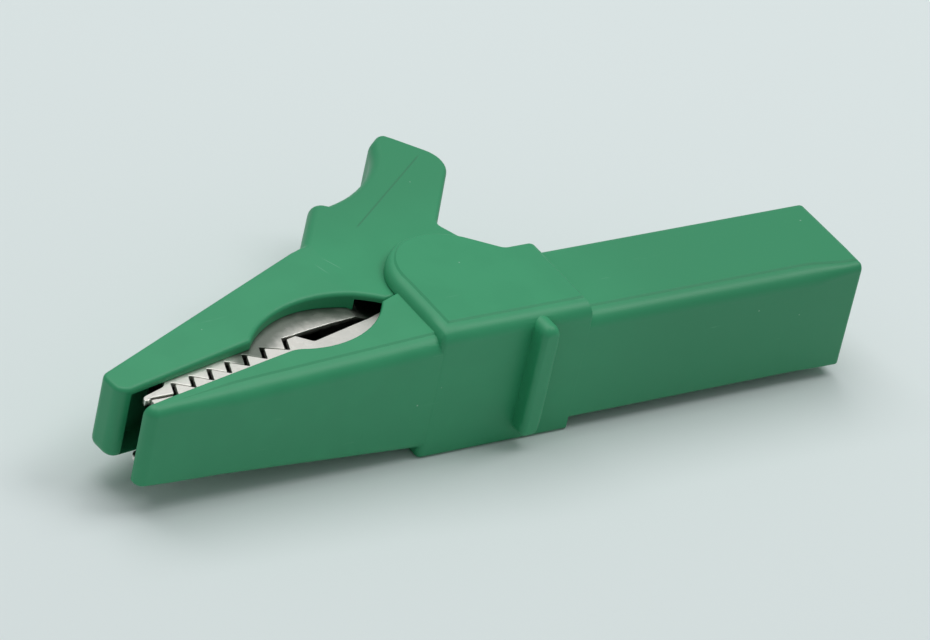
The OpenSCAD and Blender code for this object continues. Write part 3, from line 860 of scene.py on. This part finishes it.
arch_front, arch_rear = crossings((arch_start_x, lever_rim_y(arch_start_x)), arch_stop, arch, arch_r)
scoop_rear = crossings(thumb_tip, ridge, scoop, scoop_r)[0]
lever = slab("lever", outline([
    (lever_tip_x, lever_top_y(lever_tip_x), lever_nose_top_r, lever_soft),
    (nose_rim_x, lever_rim_y(nose_rim_x), lever_nose_rim_r, lever_rim_soft),
    *arc(arch, arch_r, bearing(arch, arch_front), bearing(arch, arch_rear), lever_rim_soft),
    (*arch_stop, 0, hub_soft),
    *arc(pivot, hub_r, hub_start, 360, hub_soft),
    (*heel, heel_r, lever_rim_soft),
    (*waist, heel_r, lever_soft),
    (*thumb_heel, thumb_heel_r, lever_soft),
    (*thumb_tip, thumb_tip_soft + hair, thumb_tip_soft),
    (*scoop_rear, scoop_foot_r, scoop_soft),
    *arc(scoop, scoop_r, bearing(scoop, scoop_rear) - scoop_foot_deg, scoop_start, scoop_soft),
    (*ridge, ridge_r, scoop_soft),
    (ridge_foot_x, lever_top_y(ridge_foot_x), ridge_foot_r, lever_soft),
]), lever_plan, lever_middle, under=lever_under, breaks=(lever_root_x,))

# Hollow of the lever: the moving jaw's bed along the jaw and up the thumb arm, wider round the hinge.
moving_nose_x = pivot[0] - 35.6
joggle_x = (eye_x, pivot[0] - 10.2, pivot[0] - 8.6)
sheet_ear_half = 3.3
base_depth = 1.3 + seat
arm_bend_x = pivot[0] - 7.6
arm_bend = np.array([arm_bend_x, lever_top_y(arm_bend_x, base_depth)])
arm_end = pivot + np.array([4.5, 18.1])
arm_dir = (arm_end - arm_bend) / np.linalg.norm(arm_end - arm_bend)
arm_in = np.array([arm_dir[1], -arm_dir[0]])
arm_stop = arm_end + arm_dir * seat
hollow_start_x = lever_tip_x + 1.6


def base_point(x, depth):
    """Place on the sheet's base along the jaw, at a depth into the sheet."""
    return np.array([x, lever_top_y(x, base_depth + depth)])


def bend_point(depth):
    """Where the base's two straight stretches meet, at a depth into the sheet."""
    a = arm_bend + arm_in * depth
    b = base_point(arm_bend_x, depth)
    return a + arm_dir * (b[1] - a[1] + top_slope * (a[0] - b[0])) / (arm_dir[1] - top_slope * arm_dir[0])


def moving_plan(x):
    """Half width of the moving jaw over its flanges."""
    halves = (sheet_nose_half, sheet_eye_half, sheet_eye_half, sheet_ear_half)
    return np.interp(x, (moving_nose_x, *joggle_x), halves)


hollow_rows = outline(sharp([
    (hollow_start_x, -reach_y),
    (pivot[0] + reach_y, -reach_y),
    arm_stop + arm_in * 2 * reach_y,
    arm_stop - arm_in * seat,
    bend_point(-seat),
    base_point(hollow_start_x, -seat),
]))
bed = slab("bed", hollow_rows, lambda x: moving_plan(x) + seat, breaks=joggle_x, steps=1)
bed_side = slab("bed_side", hollow_rows, even(reach_y), steps=1)
around_hinge = worked(disc("around_hinge", pivot, notch_r, lever_in_half), "INTERSECT", [bed_side])
lever = smoothed(worked(lever, "DIFFERENCE", [bed, around_hinge]))
lever.name = "lever_moulding"

# Marks on the lever: a long crease up the thumb pad and two scratches, each as its ends, width and depth
# and how strongly it takes on a colour. The crease's groove is a real bump; its dark colour is painted
# shade.
lever_marks = [
    ((-30.4, 23.2), (-43.3, 13.7), 0.12, 2, 0.5, crease_painted_shade),
    ((-50.1, 10.0), (-49.5, 7.8), 0.07, 0.6, 0.5, scuff_pale),
    ((-49.0, 10.6), (-47.9, 8.1), 0.07, 0.6, 0.6, scuff_pale),
]
# Painted shade on the lever deepens along y over this span, towards the thumb.
lever_shade_mm = (8, 20)
lever.data.materials.append(plastic("green_plastic_lever", lever_marks, (0, 1, 0), *lever_shade_mm))
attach(lever, "lever")
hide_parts("lever_shell")


# Moving jaw
# The second stamping: a channel with teeth along both edges, ears for the hinge and an arm into the thumb
# pad. Its nose is folded down so that it closes in front of the fixed jaw's nose.
moving_ear_r = 3.6
moving_ear_start = 184
moving_eye = ((-17.3, 0.71, 0.2), (-15.2, 0.61, 2), (-12.7, 0.46, 2), (-9.2, 0.06, 0))
bite_shift = 0.24
pitch_step = 0.012
arm_flange = 3.2
arm_corner_r = 0.5
arm_foot = pivot + np.array([2.2, 9.5])
base_bend_r = 1
beak = bite(-32.55, bite_off + 0.75)
beak_x = beak[0] + 1
beak_r = 1
beak_back_r = 0.6
lip_along = -35.6
lip_low = bite_off - 0.15
lip_top = bite_off + 0.45
lip_h = 0.4
lip_bend_r = 0.6
lip_back = lip_along + metal_t
moving_rows = outline([
    (*base_point(beak_x, 0), beak_back_r, sheet_soft),
    (*beak, beak_r, sheet_soft),
    (*bite(lip_along, lip_top), lip_bend_r, sheet_soft),
    (*bite(lip_along, lip_low), lip_edge_r, sheet_soft),
    (*bite(lip_back, lip_low), lip_edge_r, sheet_soft),
    (*bite(lip_back, lip_top - lip_h), fold_r, sheet_soft),
    *tooth_edge(tooth_pitch - pitch_step, bite_gap / 2, -bite_shift),
    *eye_edge(moving_eye),
    *arc(pivot, moving_ear_r, moving_ear_start, 360, sheet_soft),
    (*arm_foot, arm_corner_r, sheet_soft),
    (*(arm_end + arm_in * arm_flange), arm_corner_r, sheet_soft),
    (*arm_end, 0, sheet_soft),
    (*bend_point(0), 0, sheet_soft),
])
moving_base = slab("base", outline([
    (*base_point(beak_x + hair, hair), 0, 0),
    (*base_point(beak_x + hair, metal_t), 0, 0),
    (*bend_point(metal_t), base_bend_r, 0),
    (*(arm_end + arm_in * metal_t - arm_dir * hair), 0, 0),
    (*(arm_end + arm_in * hair - arm_dir * hair), 0, 0),
    (*bend_point(hair), 0, 0),
]), lambda x: moving_plan(x) - hair, breaks=joggle_x, steps=1)
near, distant = flanges(moving_rows, moving_plan, joggle_x)
moving_jaw = worked(near, "UNION", [distant, moving_base])
moving_pin_hole = disc("hole", pivot, rivet_hole_r, reach_y)
moving_jaw = smoothed(worked(moving_jaw, "DIFFERENCE", [moving_pin_hole]))
moving_jaw.name = "moving_jaw_sheet"
# The moving jaw's sheet carries painted shade and reflection below the arch.
moving_jaw.data.materials.append(plated_sheet("nickel_moving", arch_shade=0.8))
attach(moving_jaw, "lever")
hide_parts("moving_jaw")


# Torsion spring
# Hard-drawn steel wire wound round the hinge rivet. One leg presses on the fixed jaw's floor, the other
# under the moving jaw's arm.
wire_r = 0.45
wire_sides = 14
wire_sharp_deg = 50
wire_grain = (2, 2, 2)
coil_r = 2.3
coil_turns = 4
coil_pitch = 2 * wire_r + seat
turn_steps = 40
floor_leg = math.radians(-51)
arm_leg = math.radians(75)
coil_start_a = floor_leg + math.radians(270)
coil_sweep = math.tau * coil_turns + coil_start_a - arm_leg - math.pi / 2
coil_l = coil_pitch * coil_sweep / math.tau


def on_coil(a):
    return pivot + coil_r * np.array([math.cos(a), math.sin(a)])


floor_leg_dir = np.array([math.cos(floor_leg), math.sin(floor_leg)])
arm_leg_dir = np.array([math.cos(arm_leg), math.sin(arm_leg)])
coil_start = on_coil(coil_start_a)
coil_stop = on_coil(coil_start_a - coil_sweep)
floor_leg_l = (coil_start[1] - floor_y - metal_t - wire_r - seat) / -math.sin(floor_leg)
arm_leg_l = ((coil_stop - arm_bend) @ arm_in - metal_t - wire_r - seat) / -(arm_leg_dir @ arm_in)
floor_leg_shares = np.linspace(1, 0.1, 8)
coil_shares = np.linspace(0, 1, math.ceil(turn_steps * coil_sweep / math.tau) + 1)
arm_leg_shares = np.linspace(0.05, 1, 16)
path = np.array([
    *[(*(coil_start + floor_leg_dir * floor_leg_l * share), -coil_l / 2) for share in floor_leg_shares],
    *[(*on_coil(coil_start_a - coil_sweep * share), coil_l * (share - 0.5)) for share in coil_shares],
    *[(*(coil_stop + arm_leg_dir * arm_leg_l * share), coil_l / 2) for share in arm_leg_shares],
])
heading = np.gradient(path, axis=0)
heading /= np.linalg.norm(heading, axis=1, keepdims=True)
across = np.cross((0, 0, 1), heading)
across /= np.linalg.norm(across, axis=1, keepdims=True)
over = np.cross(heading, across)
wire_rings = []
for point, u, v in zip(path, across, over):
    around = np.linspace(0, math.tau, wire_sides, endpoint=False)
    wire_rings.append([point + wire_r * (u * math.cos(a) + v * math.sin(a)) for a in around])
wire = skinned(wire_rings)
bmesh.ops.recalc_face_normals(wire, faces=wire.faces)
spring = smoothed(made("spring_wire", wire), wire_sharp_deg)
spring.data.materials.append(turned_metal("spring_steel", steel_bright, steel_dull, steel_rough, wire_grain))
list((coil_stop + arm_leg_dir * arm_leg_l) * MM)
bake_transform(spring)
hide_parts("torsion_spring")


# Floor, light and camera
# Pale paper under the clip, a large soft lamp above and a little behind it, a smaller one to the right and
# a faint one behind on the right. The camera stands where the photograph was taken, with a long lens.
floor_pale = (0.73, 0.794, 0.792, 1)
floor_cloud = tuple(c * 0.98 for c in floor_pale)
floor_half = 4
floor_mesh = bmesh.new()
bmesh.ops.create_grid(floor_mesh, x_segments=1, y_segments=1, size=floor_half)
floor = made("floor", floor_mesh)
floor.location.z = -ear_half * MM
floor_material, floor_shader, floor_at = finish("floor_sheet")
linked(floor_shader, Base_Color=tinted(noise(floor_at, 0.004, 2), floor_pale, floor_cloud))
floor_shader.inputs["Roughness"].default_value = 0.9
floor_shader.inputs["Specular IOR Level"].default_value = 0.1
floor.data.materials.append(floor_material)

sky_pale = (0.90, 0.94, 0.95, 1)
world = bpy.data.worlds.new("studio")
bpy.context.scene.world = world
world.use_nodes = True
sky = world.node_tree.nodes["Background"]
sky.inputs["Color"].default_value = sky_pale
sky.inputs["Strength"].default_value = 0.35

clip_middle = np.array([-0.038, 0.005, 0])


def lamp(name, power, size, place):
    """Square lamp that faces the clip."""
    light = bpy.data.lights.new(name, "AREA")
    light.energy = power
    light.size = size
    holder = bpy.data.objects.new(name, light)
    bpy.context.scene.collection.objects.link(holder)
    aim = clip_middle - place
    aim = aim / np.linalg.norm(aim)
    side = np.cross(aim, (0, 1, 0.01))
    side /= np.linalg.norm(side)
    top = np.cross(side, aim)
    turn = Matrix(np.array([side, top, -aim]).T.tolist()).to_4x4()
    holder.matrix_world = Matrix.Translation(place) @ turn


lamp("key", power=2.75, size=0.6, place=(-0.06, 0.24, 0.67))
lamp("side", power=1.25, size=0.3, place=(0.34, -0.07, 0.60))
lamp("back", power=0.03, size=0.35, place=(0.30, 0.42, 0.42))

camera_right = (0.83374, -0.51958, 0.18685)
camera_down = (-0.15818, -0.54897, -0.82074)
camera_ahead = (0.52902, 0.65472, -0.53989)
camera_place = (-0.34409, -0.37716, 0.31484)
camera_data = bpy.data.cameras.new("camera")
camera_data.sensor_width = 36
camera_data.lens = 245.19
camera = bpy.data.objects.new("camera", camera_data)
bpy.context.scene.collection.objects.link(camera)
camera_axes = np.array([camera_right, np.negative(camera_down), np.negative(camera_ahead)]).T
camera.matrix_world = Matrix.Translation(camera_place) @ Matrix(camera_axes.tolist()).to_4x4()
bpy.context.scene.camera = camera
bpy.context.scene.view_settings.view_transform = "Standard"
